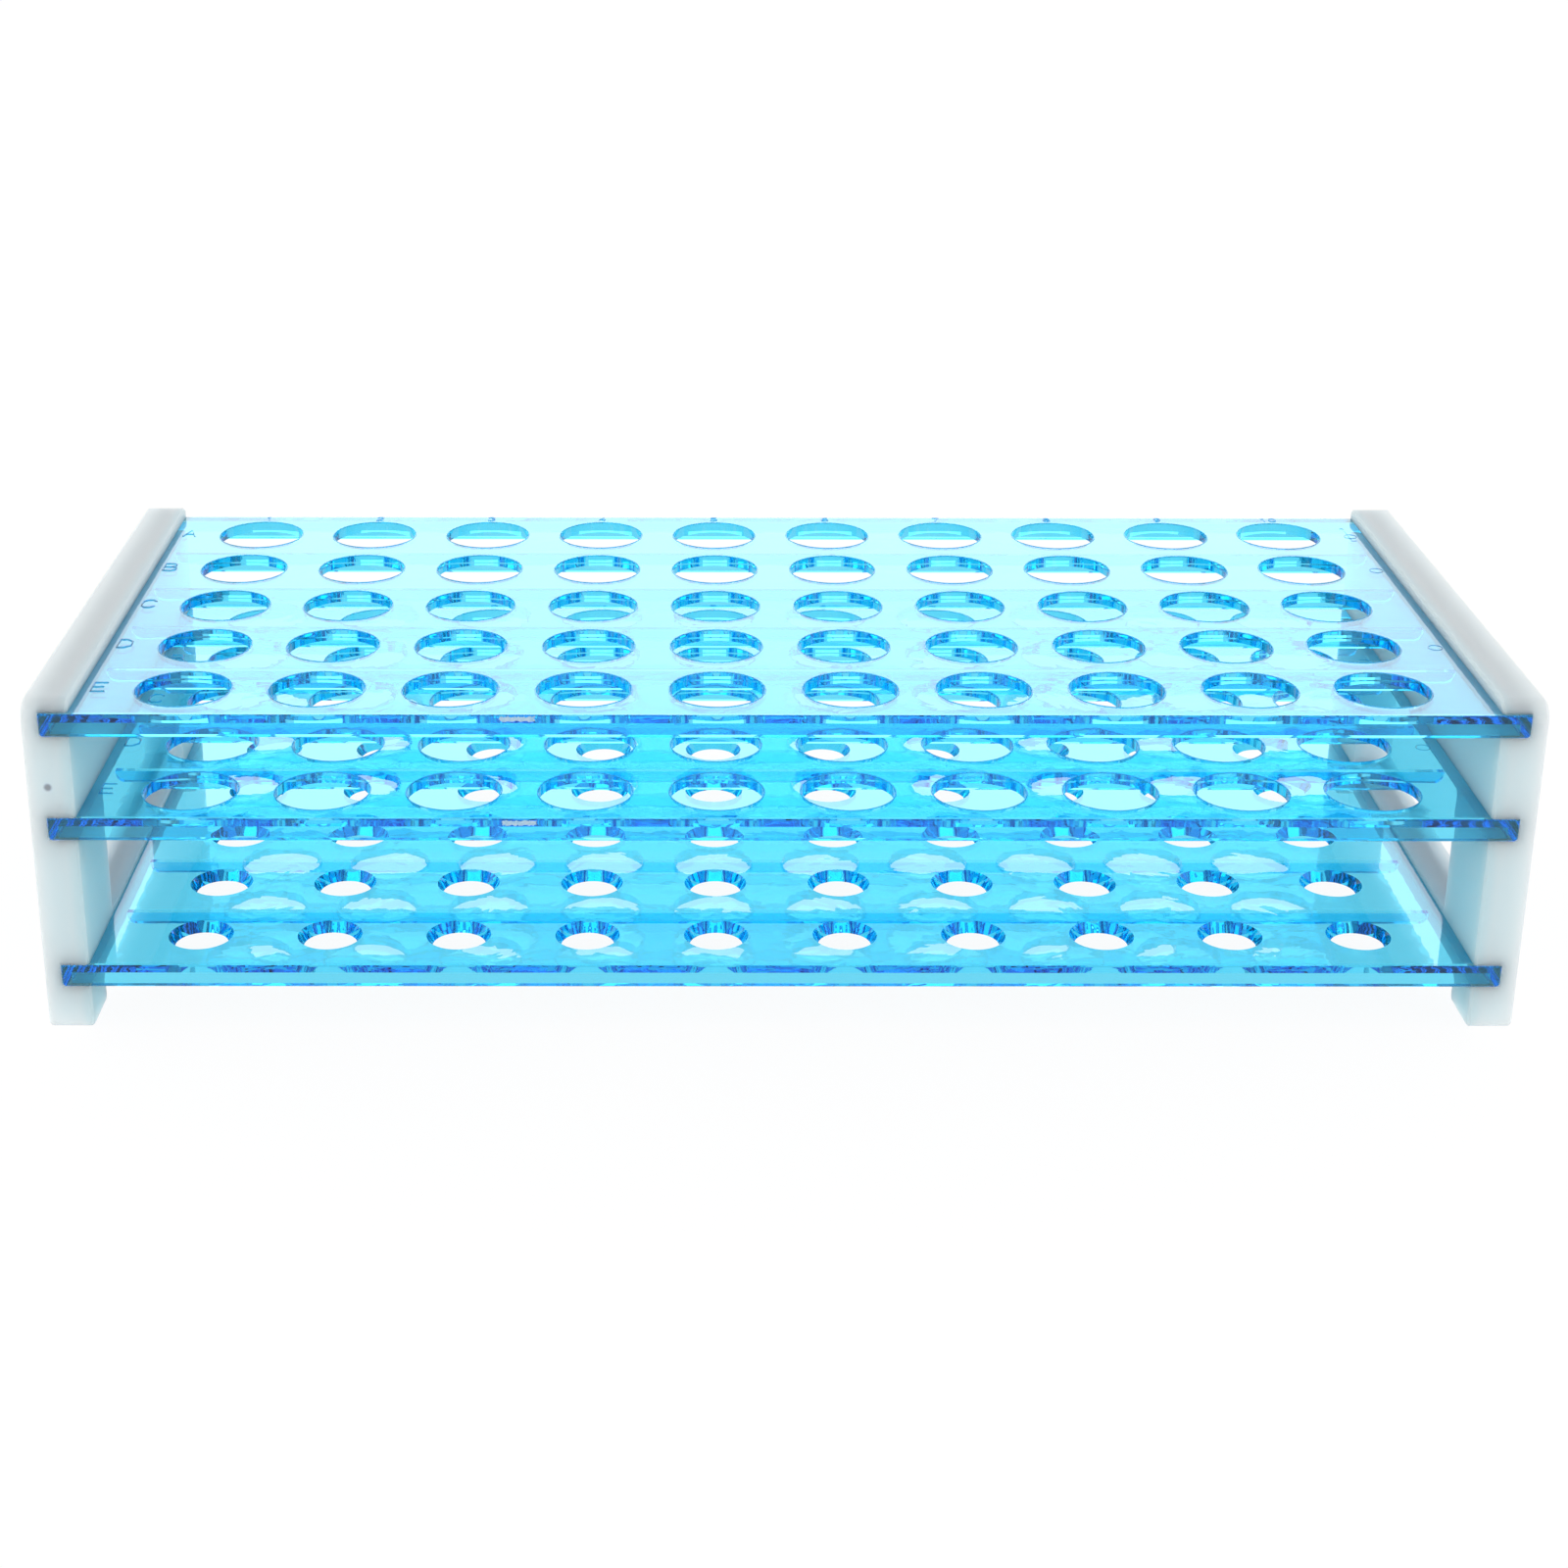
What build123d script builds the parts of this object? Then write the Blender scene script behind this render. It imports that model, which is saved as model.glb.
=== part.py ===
from build123d import *
import os

# Bench rack for test tubes: three clear shelves pushed into grooves in two opal end panels.
# Millimetres. The origin is on the bench under the middle of the rack.
# X runs along the rows of wells, the front faces -Y, and +Z is up.

# Wells
columns = 10
rows = 5
column_pitch = 22.0
row_pitch = 20.6
well_diameter = 15.8
seat_mouth_diameter = 11.0
seat_throat_diameter = 9.1

# From the outer wells' axes to the end panels, and to the front and the back of the shelves
well_end_margin = 16.7
well_side_margin = 11.5

# Shelves: shallow trays that are open below, with a rim all round
shelf_height = 3.9
plate_thickness = 1.9
long_rim_thickness = 2.15
side_rim_thickness = 1.4
shelf_corner_radius = 0.7
shelf_edge_chamfer = 0.2

# Stiffening ribs under each plate, one between each two rows
rib_width = 1.2
rib_end_setback = 2.0
rib_end_radius = 1.6

# Levels of the shelves' top faces above the bench
bottom_shelf_level = 11.7
middle_shelf_level = 38.5
top_shelf_level = 56.8

# End panels
panel_thickness = 7.5
lip_height = 2.0
panel_front_radius = 3.5
panel_back_radius = 0.8
panel_edge_chamfer = 0.4

# Grooves that hold the shelves' sides
groove_depth = 4.8
groove_end_clearance = 0.1
groove_top_clearance = 0.1

# Hand window between the middle and the bottom groove
window_width = 66.4
window_web = 0.7
window_radius = 1.0
window_edge_chamfer = 0.25

# Two feet, left by an arch under each panel
foot_length = 10.5
foot_radius = 1.2
arch_height = 5.0
arch_radius = 2.0

panel_gap = (columns - 1) * column_pitch + 2 * well_end_margin
shelf_depth = (rows - 1) * row_pitch + 2 * well_side_margin
shelf_length = panel_gap + 2 * (groove_depth - groove_end_clearance)
skirt_depth = shelf_height - plate_thickness
panel_height = top_shelf_level + lip_height
shelf_levels = {
    "top_shelf": top_shelf_level,
    "middle_shelf": middle_shelf_level,
    "bottom_shelf": bottom_shelf_level,
}


def rib_outline():
    """A rib seen from the front: its ends curve up to the plate short of the end panels."""
    with BuildSketch(Plane.XZ) as outline:
        with Locations((0, -plate_thickness)):
            Rectangle(
                panel_gap - 2 * rib_end_setback,
                skirt_depth,
                align=(Align.CENTER, Align.MAX),
            )
        fillet(outline.vertices().group_by(Axis.Y)[0], rib_end_radius)
    return outline.sketch


def tray():
    """A shelf before its holes are cut, with its top face at Z = 0."""
    with BuildPart() as shelf:
        Box(
            shelf_length,
            shelf_depth,
            shelf_height,
            align=(Align.CENTER, Align.CENTER, Align.MAX),
        )
        fillet(shelf.faces().sort_by(Axis.Z)[0].edges().filter_by(Axis.Y), shelf_corner_radius)
        for side in (0, -1):
            chamfer(shelf.faces().sort_by(Axis.Y)[side].edges(), shelf_edge_chamfer)
        with Locations((0, 0, -shelf_height)):
            Box(
                shelf_length - 2 * side_rim_thickness,
                shelf_depth - 2 * long_rim_thickness,
                skirt_depth,
                align=(Align.CENTER, Align.CENTER, Align.MIN),
                mode=Mode.SUBTRACT,
            )
        with GridLocations(0, row_pitch, 1, rows - 1):
            add(extrude(rib_outline(), rib_width / 2, both=True, mode=Mode.PRIVATE))
    return shelf.part


def well_shelf():
    """A shelf with straight holes that the tubes pass through."""
    with BuildPart() as shelf:
        add(tray())
        with GridLocations(column_pitch, row_pitch, columns, rows):
            Hole(well_diameter / 2)
    return shelf.part


def seat_shelf():
    """A shelf with tapered holes that centre the round ends of the tubes."""
    with BuildPart() as shelf:
        add(tray())
        with GridLocations(column_pitch, row_pitch, columns, rows):
            Cone(
                seat_throat_diameter / 2,
                seat_mouth_diameter / 2,
                plate_thickness,
                align=(Align.CENTER, Align.CENTER, Align.MAX),
                mode=Mode.SUBTRACT,
            )
    return shelf.part


def panel_outline():
    """An end panel seen from the side, with its front to the left."""
    with BuildSketch() as outline:
        Rectangle(shelf_depth, panel_height, align=(Align.CENTER, Align.MIN))
        Rectangle(
            shelf_depth - 2 * foot_length,
            arch_height,
            align=(Align.CENTER, Align.MIN),
            mode=Mode.SUBTRACT,
        )
        levels = outline.vertices().group_by(Axis.Y)
        fillet(levels[0], foot_radius)
        fillet(outline.vertices().filter_by_position(Axis.Y, arch_height, arch_height), arch_radius)
        fillet(outline.vertices().sort_by_distance((shelf_depth / 2, panel_height))[0], panel_back_radius)
        fillet(outline.vertices().sort_by_distance((-shelf_depth / 2, panel_height))[0], panel_front_radius)
    return outline.sketch


def window_outline():
    """The window spans the height between two grooves, less a thin web beside each."""
    window_low = bottom_shelf_level + groove_top_clearance + window_web
    window_high = middle_shelf_level - shelf_height - window_web
    with BuildSketch() as outline:
        with Locations((0, window_low)):
            RectangleRounded(
                window_width,
                window_high - window_low,
                window_radius,
                align=(Align.CENTER, Align.MIN),
            )
    return outline.sketch


def end_panel():
    """The panel at the +X end, with its grooves open at the front and at the back."""
    inner_face = Plane.YZ.offset(panel_gap / 2)
    with BuildPart() as panel:
        with BuildSketch(inner_face):
            add(panel_outline())
        extrude(amount=panel_thickness)
        for side in (0, -1):
            chamfer(panel.faces().sort_by(Axis.X)[side].edges(), panel_edge_chamfer)
        with BuildSketch(inner_face):
            add(window_outline())
        extrude(amount=panel_thickness, mode=Mode.SUBTRACT)
        for side in (0, -1):
            rim = panel.faces().sort_by(Axis.X)[side].inner_wires()[0]
            chamfer(rim.edges(), window_edge_chamfer)
        for level in shelf_levels.values():
            with Locations((panel_gap / 2, 0, level + groove_top_clearance)):
                Box(
                    groove_depth,
                    shelf_depth,
                    shelf_height + groove_top_clearance,
                    align=(Align.MIN, Align.CENTER, Align.MAX),
                    mode=Mode.SUBTRACT,
                )
    return panel.part


right_panel = end_panel()
pieces = {
    "right_end_panel": right_panel,
    "left_end_panel": mirror(right_panel, about=Plane.YZ),
}
tube_shelf = well_shelf()
for name, level in shelf_levels.items():
    shelf = seat_shelf() if name == "bottom_shelf" else tube_shelf
    pieces[name] = Pos(0, 0, level) * shelf

os.makedirs("parts", exist_ok=True)
for name, piece in pieces.items():
    export_step(piece, f"parts/{name}.step")
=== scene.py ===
"""Looks of a bench rack for test tubes: clear blue shelves between opal end panels, in a white studio."""

import math
import random

import bmesh
import bpy
from mathutils import Matrix, Vector


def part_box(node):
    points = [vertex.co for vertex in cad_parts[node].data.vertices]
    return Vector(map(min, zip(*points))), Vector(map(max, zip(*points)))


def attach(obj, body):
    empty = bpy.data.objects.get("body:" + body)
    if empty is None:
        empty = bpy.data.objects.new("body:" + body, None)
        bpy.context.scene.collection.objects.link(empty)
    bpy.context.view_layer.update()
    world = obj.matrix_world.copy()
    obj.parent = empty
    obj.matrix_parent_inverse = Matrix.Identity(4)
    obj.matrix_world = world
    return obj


MM = 0.001

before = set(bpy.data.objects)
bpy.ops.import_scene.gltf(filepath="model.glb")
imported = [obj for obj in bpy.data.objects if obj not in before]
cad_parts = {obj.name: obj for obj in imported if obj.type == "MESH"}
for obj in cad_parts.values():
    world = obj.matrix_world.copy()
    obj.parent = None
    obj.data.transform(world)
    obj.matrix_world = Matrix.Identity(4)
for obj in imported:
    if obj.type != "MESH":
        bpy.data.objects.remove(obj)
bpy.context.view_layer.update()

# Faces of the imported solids, in metres
shelf_tops = {name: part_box(name)[1].z for name in ("top_shelf", "middle_shelf")}
shelf_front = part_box("top_shelf")[0].y
panel_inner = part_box("right_end_panel")[0].x

# The grid of wells, in millimetres
columns = 10
rows = 5
column_pitch = 22.0
row_pitch = 20.6
well_radius = 7.9

# Moulded labels and marks on the two upper shelves, in millimetres
letter_size = (2.3, 3.9)
letter_column = -112.9
letter_rise = 0.8
letter_stroke = 0.34
number_size = (1.3, 1.9)
number_row = 51.35
number_stroke = 0.26
ejector_radius = 1.2
mark_stroke = 0.16
bead_stroke = 0.22
bead_offset = 0.12

# The mark where each upper shelf was broken off its runner, in millimetres
gate_length = 5.6
gate_height = 0.8
gate_thickness = 0.06
gate_centre = -43.3
gate_drop = 0.68
gate_proud = 0.02
gate_raggedness = (0.14, 0.01, 0.14)

# Strokes of the moulded labels, on a grid four wide and six high
glyph_grid = (4, 6)
GLYPHS = {
    "A": [[(0, 0), (2, 6), (4, 0)], [(0.7, 2), (3.3, 2)]],
    "B": [
        [(0, 0), (0, 6), (2.6, 6), (3.6, 5.4), (3.6, 3.9), (2.6, 3.2), (0, 3.2)],
        [(2.6, 3.2), (4, 2.5), (4, 0.8), (2.8, 0), (0, 0)],
    ],
    "C": [[(4, 4.9), (2.9, 6), (1.2, 6), (0, 4.7), (0, 1.3), (1.2, 0), (2.9, 0), (4, 1.1)]],
    "D": [[(0, 0), (0, 6), (2.2, 6), (4, 4.5), (4, 1.5), (2.2, 0), (0, 0)]],
    "E": [[(3.8, 6), (0, 6), (0, 0), (4, 0)], [(0, 3.1), (3.2, 3.1)]],
    "0": [[(2, 0), (0.4, 1), (0, 3), (0.4, 5), (2, 6), (3.6, 5), (4, 3), (3.6, 1), (2, 0)]],
    "1": [[(0.9, 4.7), (2.2, 6), (2.2, 0)]],
    "2": [[(0.2, 4.6), (1, 6), (3, 6), (3.8, 4.8), (3.5, 3.4), (0, 0), (4, 0)]],
    "3": [
        [(0.2, 5), (1.2, 6), (2.8, 6), (3.7, 5), (3.6, 3.8), (2.4, 3.2)],
        [(2.4, 3.2), (3.8, 2.4), (3.9, 1), (2.8, 0), (1.1, 0), (0, 1)],
    ],
    "4": [[(3, 0), (3, 6), (0, 1.7), (4, 1.7)]],
    "5": [
        [(3.7, 6), (0.5, 6), (0.3, 3.3), (2.6, 3.7), (3.9, 2.4), (3.7, 0.8), (2.5, 0), (1, 0), (0, 0.9)],
    ],
    "6": [
        [(3.5, 5.5), (2.4, 6), (1, 5.3), (0.1, 3), (0.3, 0.9), (1.5, 0), (3, 0.1), (3.9, 1.4), (3.5, 3)],
        [(3.5, 3), (2.2, 3.6), (0.3, 2.6)],
    ],
    "7": [[(0, 6), (4, 6), (1.4, 0)]],
    "8": [
        [(2, 3.2), (0.5, 4), (0.5, 5.3), (2, 6), (3.5, 5.3), (3.5, 4), (2, 3.2)],
        [(2, 3.2), (0.1, 2.2), (0.2, 0.7), (2, 0), (3.8, 0.7), (3.9, 2.2), (2, 3.2)],
    ],
    "9": [
        [(0.5, 0.5), (1.6, 0), (3, 0.7), (3.9, 3), (3.7, 5.1), (2.5, 6), (1, 5.9), (0.1, 4.6), (0.5, 3)],
        [(0.5, 3), (1.8, 2.4), (3.7, 3.4)],
    ],
}


def linear(hex_colour):
    """A linear RGBA colour from an sRGB hex value."""
    channels = [int(hex_colour[i : i + 2], 16) / 255 for i in (1, 3, 5)]
    return [c / 12.92 if c <= 0.04045 else ((c + 0.055) / 1.055) ** 2.4 for c in channels] + [1.0]


def add_node(tree, kind, values=None, links=None, **settings):
    """Adds a shader node. Values and links go by the input's name or number, settings by attribute."""
    node = tree.nodes.new(kind)
    for name, value in settings.items():
        setattr(node, name, value)
    for socket, value in (values or {}).items():
        node.inputs[socket].default_value = value
    for socket, source in (links or {}).items():
        tree.links.new(source, node.inputs[socket])
    return node


def new_material(name):
    """An empty material with its node tree cleared, and its output node."""
    material = bpy.data.materials.new(name)
    material.use_nodes = True
    material.node_tree.nodes.clear()
    output = add_node(material.node_tree, "ShaderNodeOutputMaterial")
    return material, material.node_tree, output


def spot(tree, place, centre, radius, soft):
    """1 within a radius of a point, with a soft edge. Lengths are in millimetres."""
    distance = add_node(
        tree,
        "ShaderNodeVectorMath",
        {1: [c * MM for c in centre]},
        {0: place},
        operation="DISTANCE",
    )
    edge = add_node(
        tree,
        "ShaderNodeMapRange",
        {"From Min": radius * MM, "From Max": (radius + soft) * MM, "To Min": 1.0, "To Max": 0.0},
        {"Value": distance.outputs["Value"]},
        interpolation_type="SMOOTHSTEP",
    )
    return edge.outputs["Result"]


def clear_blue_polystyrene():
    """Crystal polystyrene, injection moulded in a polished mould and tinted in the mass.

    The eye sees a glassy face, and a tint that grows from pale cyan through a plate to deep blue
    along an edge.
    """
    material, tree, output = new_material("clear_blue_polystyrene")
    place = add_node(tree, "ShaderNodeTexCoord").outputs["Object"]
    # Flow marks round the cores of the holes are about 9 mm across
    waves = add_node(
        tree,
        "ShaderNodeTexNoise",
        {"Scale": 1 / (9 * MM), "Detail": 2.0, "Roughness": 0.45, "Distortion": 0.8},
        {"Vector": place},
    )
    flow = add_node(
        tree,
        "ShaderNodeBump",
        {"Strength": 0.25, "Distance": 0.14 * MM},
        {"Height": waves.outputs["Fac"]},
    )
    surface = add_node(
        tree,
        "ShaderNodeBsdfPrincipled",
        {
            "Base Color": linear("#78E4FF"),
            "Roughness": 0.0,
            "IOR": 1.59,
            "Transmission Weight": 1.0,
        },
        {"Normal": flow.outputs["Normal"]},
    )
    tint = add_node(
        tree,
        "ShaderNodeVolumeAbsorption",
        {"Color": linear("#42F0FD"), "Density": 110.0},
    )
    tree.links.new(surface.outputs["BSDF"], output.inputs["Surface"])
    tree.links.new(tint.outputs["Volume"], output.inputs["Volume"])
    return material


def stress_whitened_polystyrene():
    """Polystyrene that went white where it was torn off the runner: rough and pale in the clear blue."""
    material, tree, output = new_material("stress_whitened_polystyrene")
    place = add_node(tree, "ShaderNodeTexCoord").outputs["Object"]
    # The tears are about 0.5 mm apart
    tears = add_node(
        tree,
        "ShaderNodeTexNoise",
        {"Scale": 1 / (0.5 * MM), "Detail": 2.0},
        {"Vector": place},
    )
    shade = add_node(
        tree,
        "ShaderNodeMix",
        {6: linear("#6CC4F4"), 7: linear("#F2FBFF")},
        {0: tears.outputs["Fac"]},
        data_type="RGBA",
    )
    rough = add_node(
        tree,
        "ShaderNodeBump",
        {"Strength": 0.8, "Distance": 0.1 * MM},
        {"Height": tears.outputs["Fac"]},
    )
    surface = add_node(
        tree,
        "ShaderNodeBsdfPrincipled",
        {"Roughness": 0.7, "IOR": 1.59},
        {"Base Color": shade.outputs[2], "Normal": rough.outputs["Normal"]},
    )
    tree.links.new(surface.outputs["BSDF"], output.inputs["Surface"])
    return material


def opal_polystyrene():
    """High-impact polystyrene, moulded with a satin face and milky with a white pigment.

    Light that enters it spreads for some millimetres, so its edges glow. The blue on the side that faces
    the shelves is a painted glow that stands in for the shelves' light.
    """
    material, tree, output = new_material("opal_polystyrene")
    place = add_node(tree, "ShaderNodeTexCoord").outputs["Object"]
    axes = add_node(tree, "ShaderNodeSeparateXYZ", {}, {0: place}).outputs
    # The pigment is a little uneven over about 25 mm
    clouds = add_node(
        tree,
        "ShaderNodeTexNoise",
        {"Scale": 1 / (25 * MM), "Detail": 2.0, "Roughness": 0.5},
        {"Vector": place},
    )
    pigment = add_node(
        tree,
        "ShaderNodeMix",
        {6: linear("#DCEEFE"), 7: linear("#E1F2FF")},
        {0: clouds.outputs["Fac"]},
        data_type="RGBA",
    )
    # Painted blue glow on the side that faces the shelves, in place of their light spreading into the
    # panel
    sideways = add_node(tree, "ShaderNodeMath", {}, {0: axes["X"]}, operation="ABSOLUTE").outputs[0]
    painted_glow_mask = add_node(
        tree,
        "ShaderNodeMapRange",
        {"From Min": panel_inner, "From Max": panel_inner + 2.5 * MM, "To Min": 1.0, "To Max": 0.0},
        {"Value": sideways},
        interpolation_type="SMOOTHSTEP",
    )
    # Painted glow: near the shelves the panel colour is mixed toward pale blue #CDEDFF
    painted_shelf_glow = add_node(
        tree,
        "ShaderNodeMix",
        {7: linear("#CDEDFF")},
        {0: painted_glow_mask.outputs["Result"], 6: pigment.outputs[2]},
        data_type="RGBA",
    )
    # A grey speck on the front of the left panel
    speck = spot(tree, place, (-119.74, -52.7, 44.07), 0.3, 0.6)
    marked = add_node(
        tree,
        "ShaderNodeMix",
        {7: linear("#A0A8AE")},
        {0: speck, 6: painted_shelf_glow.outputs[2]},
        data_type="RGBA",
    )
    # The mould's satin grain, about 0.4 mm
    grain = add_node(
        tree,
        "ShaderNodeTexNoise",
        {"Scale": 1 / (0.4 * MM), "Detail": 2.0},
        {"Vector": place},
    )
    satin = add_node(
        tree,
        "ShaderNodeBump",
        {"Strength": 0.15, "Distance": 0.02 * MM},
        {"Height": grain.outputs["Fac"]},
    )
    surface = add_node(
        tree,
        "ShaderNodeBsdfPrincipled",
        {
            "Roughness": 0.65,
            "IOR": 1.59,
            "Subsurface Weight": 1.0,
            "Subsurface Radius": (1.0, 1.0, 1.0),
            "Subsurface Scale": 9.0 * MM,
        },
        {"Base Color": marked.outputs[2], "Normal": satin.outputs["Normal"]},
    )
    tree.links.new(surface.outputs["BSDF"], output.inputs["Surface"])
    return material


def white_floor():
    """A white floor that the camera sees white, with a trace of the rack's shadow."""
    material, tree, output = new_material("white_sweep")
    ray = add_node(tree, "ShaderNodeLightPath").outputs
    paper = add_node(
        tree,
        "ShaderNodeMix",
        {6: linear("#CBCBCB"), 7: linear("#F8F8F8")},
        {0: ray["Is Camera Ray"]},
        data_type="RGBA",
    )
    matt = add_node(tree, "ShaderNodeBsdfDiffuse", {}, {"Color": paper.outputs[2]})
    glow = add_node(tree, "ShaderNodeEmission", {"Color": linear("#FFFFFF"), "Strength": 1.04})
    through = add_node(
        tree,
        "ShaderNodeMath",
        {1: 0.5, 2: 0.35},
        {0: ray["Is Transmission Ray"]},
        operation="MULTIPLY_ADD",
    )
    share = add_node(
        tree,
        "ShaderNodeMath",
        {1: 0.55},
        {0: ray["Is Camera Ray"], 2: through.outputs[0]},
        operation="MULTIPLY_ADD",
    )
    blend = add_node(
        tree,
        "ShaderNodeMixShader",
        {},
        {0: share.outputs[0], 1: matt.outputs["BSDF"], 2: glow.outputs["Emission"]},
    )
    tree.links.new(blend.outputs["Shader"], output.inputs["Surface"])
    sweep = bmesh.new()
    bmesh.ops.create_grid(sweep, x_segments=1, y_segments=1, size=8.0)
    floor = finished_piece("floor", sweep, material)


def white_surround():
    """A surround that is seen white, lights the sides the most and mirrors darker on the camera's side."""
    world = bpy.data.worlds.new("white_surround")
    bpy.context.scene.world = world
    world.use_nodes = True
    tree = world.node_tree
    tree.nodes.clear()
    ray = add_node(tree, "ShaderNodeLightPath").outputs
    direction = add_node(tree, "ShaderNodeTexCoord").outputs["Generated"]
    axes = add_node(tree, "ShaderNodeSeparateXYZ", {}, {0: direction}).outputs
    mirrored = add_node(
        tree,
        "ShaderNodeMapRange",
        {"From Min": -1.0, "From Max": 1.0, "To Min": 0.2, "To Max": 1.15},
        {"Value": axes["Y"]},
    )
    # Both sides are lit the most and the top the least, so the opal panels glow through
    sideways = add_node(tree, "ShaderNodeMath", {1: 2.0}, {0: axes["X"]}, operation="POWER")
    upward = add_node(
        tree,
        "ShaderNodeMath",
        {1: -0.45, 2: 0.68},
        {0: axes["Z"]},
        operation="MULTIPLY_ADD",
    )
    around = add_node(
        tree,
        "ShaderNodeMath",
        {1: 1.6},
        {0: sideways.outputs[0], 2: upward.outputs[0]},
        operation="MULTIPLY_ADD",
    )
    level = add_node(
        tree,
        "ShaderNodeMix",
        {},
        {0: ray["Is Glossy Ray"], 2: around.outputs[0], 3: mirrored.outputs["Result"]},
    )
    fill = add_node(
        tree,
        "ShaderNodeBackground",
        {"Color": linear("#FFFFFF")},
        {"Strength": level.outputs[0]},
    )
    backdrop = add_node(tree, "ShaderNodeBackground", {"Color": linear("#FFFFFF"), "Strength": 1.0})
    seen = add_node(
        tree,
        "ShaderNodeMath",
        {},
        {0: ray["Is Camera Ray"], 1: ray["Is Transmission Ray"]},
        operation="MAXIMUM",
    )
    blend = add_node(
        tree,
        "ShaderNodeMixShader",
        {},
        {0: seen.outputs[0], 1: fill.outputs[0], 2: backdrop.outputs[0]},
    )
    output = add_node(tree, "ShaderNodeOutputWorld")
    tree.links.new(blend.outputs["Shader"], output.inputs["Surface"])


def back_softbox():
    """The lamp behind the rack, which the flat faces mirror towards the camera."""
    width = 1.4
    height = 0.45
    radiance = 1.18
    place = Vector((0.05, 1.2, 0.54))
    lamp = bpy.data.lights.new("back_softbox", "AREA")
    lamp.shape = "RECTANGLE"
    lamp.size = width
    lamp.size_y = height
    lamp.energy = radiance * math.pi * width * height
    light = bpy.data.objects.new("back_softbox", lamp)
    light.location = place
    light.rotation_euler = (-place).to_track_quat("-Z", "Y").to_euler()
    bpy.context.scene.collection.objects.link(light)


def photograph_camera():
    """The camera that was fitted to the photograph's fifty upper holes."""
    eye = Vector((-14.728, -439.48, 212.41)) * MM
    turn = Matrix.Rotation(-0.0057, 4, "Z")
    tilt = Matrix.Rotation(math.pi / 2 - 0.3612, 4, "X")
    roll = Matrix.Rotation(0.0032, 4, "Z")
    camera = bpy.data.cameras.new("camera")
    camera.sensor_width = 36.0
    camera.lens = 59.507
    camera.shift_x = 0.04815
    camera.shift_y = -0.07895
    camera.clip_start = 0.01
    view = bpy.data.objects.new("camera", camera)
    view.matrix_world = Matrix.Translation(eye) @ turn @ tilt @ roll
    bpy.context.scene.collection.objects.link(view)
    bpy.context.scene.camera = view


def finished_piece(name, shape, material):
    """An object at the origin from a bmesh whose place is already in its vertices."""
    mesh = bpy.data.meshes.new(name)
    shape.to_mesh(mesh)
    shape.free()
    mesh.materials.append(material)
    piece = bpy.data.objects.new(name, mesh)
    bpy.context.scene.collection.objects.link(piece)
    return piece


def glyph_lines(text, centre, size):
    """The strokes of a label round its centre, in millimetres. The size is that of one character."""
    width, height = size
    across, up = glyph_grid
    advance = width * 1.35
    start = centre[0] - (advance * (len(text) - 1) + width) / 2
    lines = []
    for number, character in enumerate(text):
        for stroke in GLYPHS[character]:
            left = start + number * advance
            foot = centre[1] - height / 2
            lines.append([(left + x * width / across, foot + y * height / up) for x, y in stroke])
    return lines


def ring(centre, radius, parts=20):
    """A closed circle of points."""
    turns = [step * math.tau / parts for step in range(parts + 1)]
    return [(centre[0] + radius * math.cos(turn), centre[1] + radius * math.sin(turn)) for turn in turns]


def raised_lines(name, lines, level, thickness, material, roundness=1):
    """Half-sunk round ridges on the flat face at a level. Points and thickness are in millimetres."""
    curve = bpy.data.curves.new(name, "CURVE")
    curve.dimensions = "3D"
    curve.bevel_depth = thickness / 2 * MM
    curve.bevel_resolution = roundness
    curve.use_fill_caps = True
    for line in lines:
        # A closed line ends where it starts
        closed = math.dist(line[0], line[-1]) < 0.001
        points = line[:-1] if closed else line
        spline = curve.splines.new("POLY")
        spline.use_cyclic_u = closed
        spline.points.add(len(points) - 1)
        for point, (x, y) in zip(spline.points, points):
            point.co = (x * MM, y * MM, level, 1.0)
    drawing = bpy.data.objects.new(name, curve)
    mesh = bpy.data.meshes.new_from_object(drawing)
    bpy.data.objects.remove(drawing)
    bpy.data.curves.remove(curve)
    mesh.name = name
    mesh.materials.clear()
    mesh.materials.append(material)
    piece = bpy.data.objects.new(name, mesh)
    bpy.context.scene.collection.objects.link(piece)
    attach(piece, "root")


def mark_shelf(name, material, rings, tick):
    """Row letters at the left end, column numbers behind the back row, and the mould's own marks."""
    level = shelf_tops[name]
    across = [(column - (columns - 1) / 2) * column_pitch for column in range(columns)]
    back = [(row - (rows - 1) / 2) * row_pitch for row in range(rows)]
    letters = []
    for letter, y in zip("ABCDE", reversed(back)):
        letters += glyph_lines(letter, (letter_column, y + letter_rise), letter_size)
    raised_lines(name + "_row_letters", letters, level, letter_stroke, material)
    numbers = []
    for number, x in enumerate(across, start=1):
        numbers += glyph_lines(str(number), (x, number_row), number_size)
    raised_lines(name + "_column_numbers", numbers, level, number_stroke, material)
    marks = [ring(centre, ejector_radius) for centre in rings]
    if tick:
        marks.append(tick)
    raised_lines(name + "_mould_marks", marks, level, mark_stroke, material)
    # Each core leaves a fine bead round its hole
    beads = [ring((x, y), well_radius + bead_offset, parts=42) for y in back for x in across]
    raised_lines(name + "_hole_beads", beads, level, bead_stroke, material, roundness=0)


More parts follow.
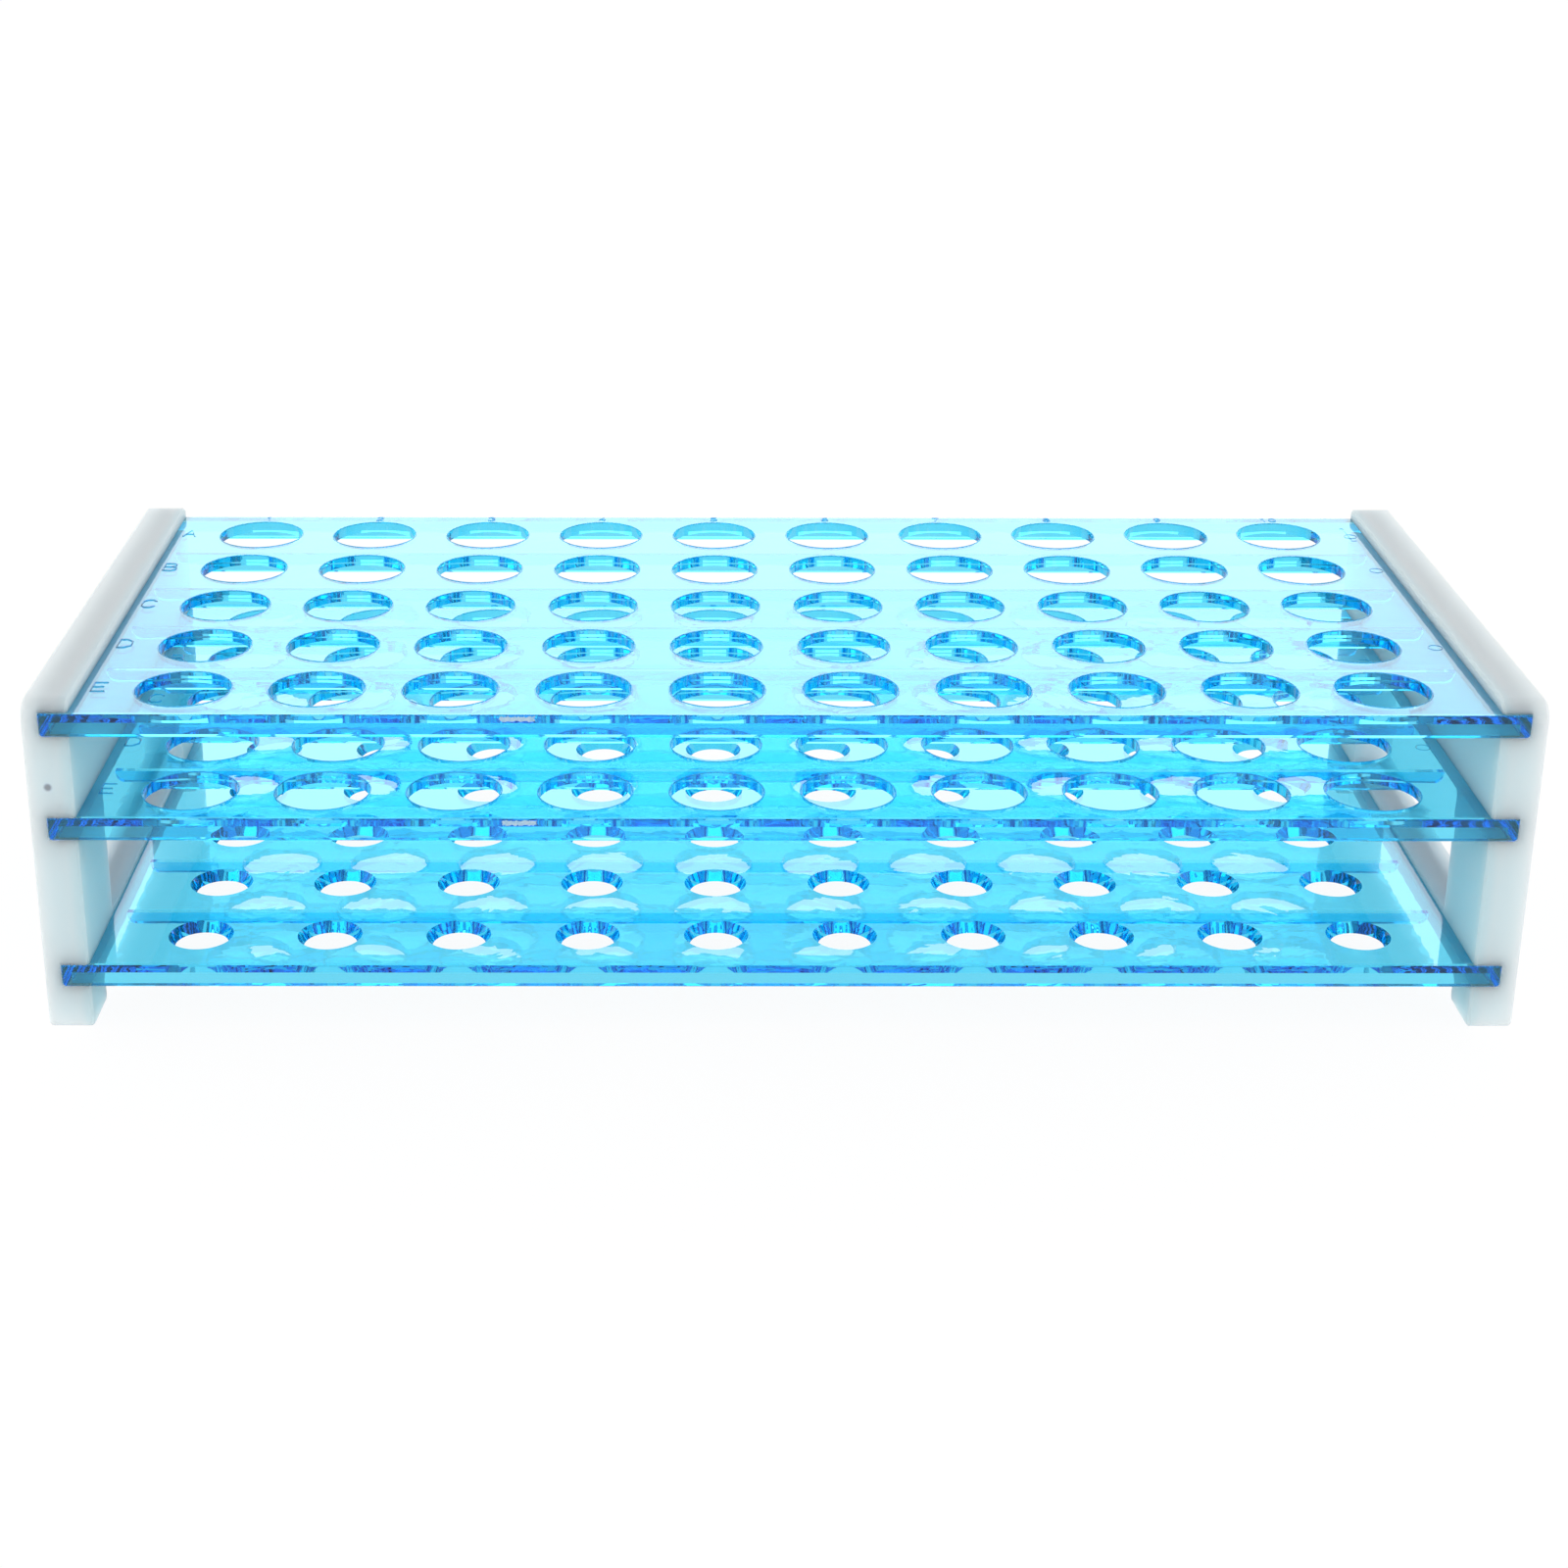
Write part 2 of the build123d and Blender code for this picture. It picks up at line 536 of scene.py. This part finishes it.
def gate_mark(shelf_name, material):
    """The whitened rag on a shelf's front edge where the runner was broken off, 0.02 mm proud of it."""
    shape = bmesh.new()
    bmesh.ops.create_grid(shape, x_segments=28, y_segments=5, size=0.5)
    bmesh.ops.scale(shape, vec=(gate_length * MM, gate_height * MM, 1.0), verts=shape.verts)
    upright = Matrix.Rotation(math.pi / 2, 3, "X")
    bmesh.ops.rotate(shape, cent=(0, 0, 0), matrix=upright, verts=shape.verts)
    ragged = random.Random(shelf_name)
    for vertex in shape.verts:
        vertex.co += Vector([ragged.uniform(-reach, reach) * MM for reach in gate_raggedness])
    bmesh.ops.solidify(shape, geom=shape.faces[:], thickness=gate_thickness * MM)
    foremost = min(vertex.co.y for vertex in shape.verts)
    place = (
        gate_centre * MM,
        shelf_front - gate_proud * MM - foremost,
        shelf_tops[shelf_name] - gate_drop * MM,
    )
    bmesh.ops.translate(shape, vec=place, verts=shape.verts)
    bmesh.ops.recalc_face_normals(shape, faces=shape.faces)
    piece = finished_piece(shelf_name + "_gate_mark", shape, material)
    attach(piece, "root")


def dress_solids(material_by_node):
    """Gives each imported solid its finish."""
    for name, material in material_by_node.items():
        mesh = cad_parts[name].data
        mesh.materials.clear()
        mesh.materials.append(material)


blue = clear_blue_polystyrene()
opal = opal_polystyrene()
dress_solids(
    {
        "top_shelf": blue,
        "middle_shelf": blue,
        "bottom_shelf": blue,
        "right_end_panel": opal,
        "left_end_panel": opal,
    }
)
mark_shelf(
    "top_shelf",
    blue,
    rings=[(113.0, 40.9), (113.0, 20.3), (113.0, -21.1)],
    tick=[(112.0, 45.8), (112.6, 45.9), (112.7, 38.2), (113.6, 38.2)],
)
mark_shelf("middle_shelf", blue, rings=[(112.5, 20.3), (112.5, -21.9)], tick=None)
whitened = stress_whitened_polystyrene()
gate_mark("top_shelf", whitened)
gate_mark("middle_shelf", whitened)
white_floor()
white_surround()
back_softbox()
photograph_camera()

scene = bpy.context.scene
scene.view_settings.view_transform = "Standard"
# Light crosses up to a dozen walls of the clear shelves before it leaves them
scene.cycles.max_bounces = 40
scene.cycles.transmission_bounces = 32
scene.cycles.glossy_bounces = 32
scene.cycles.diffuse_bounces = 5
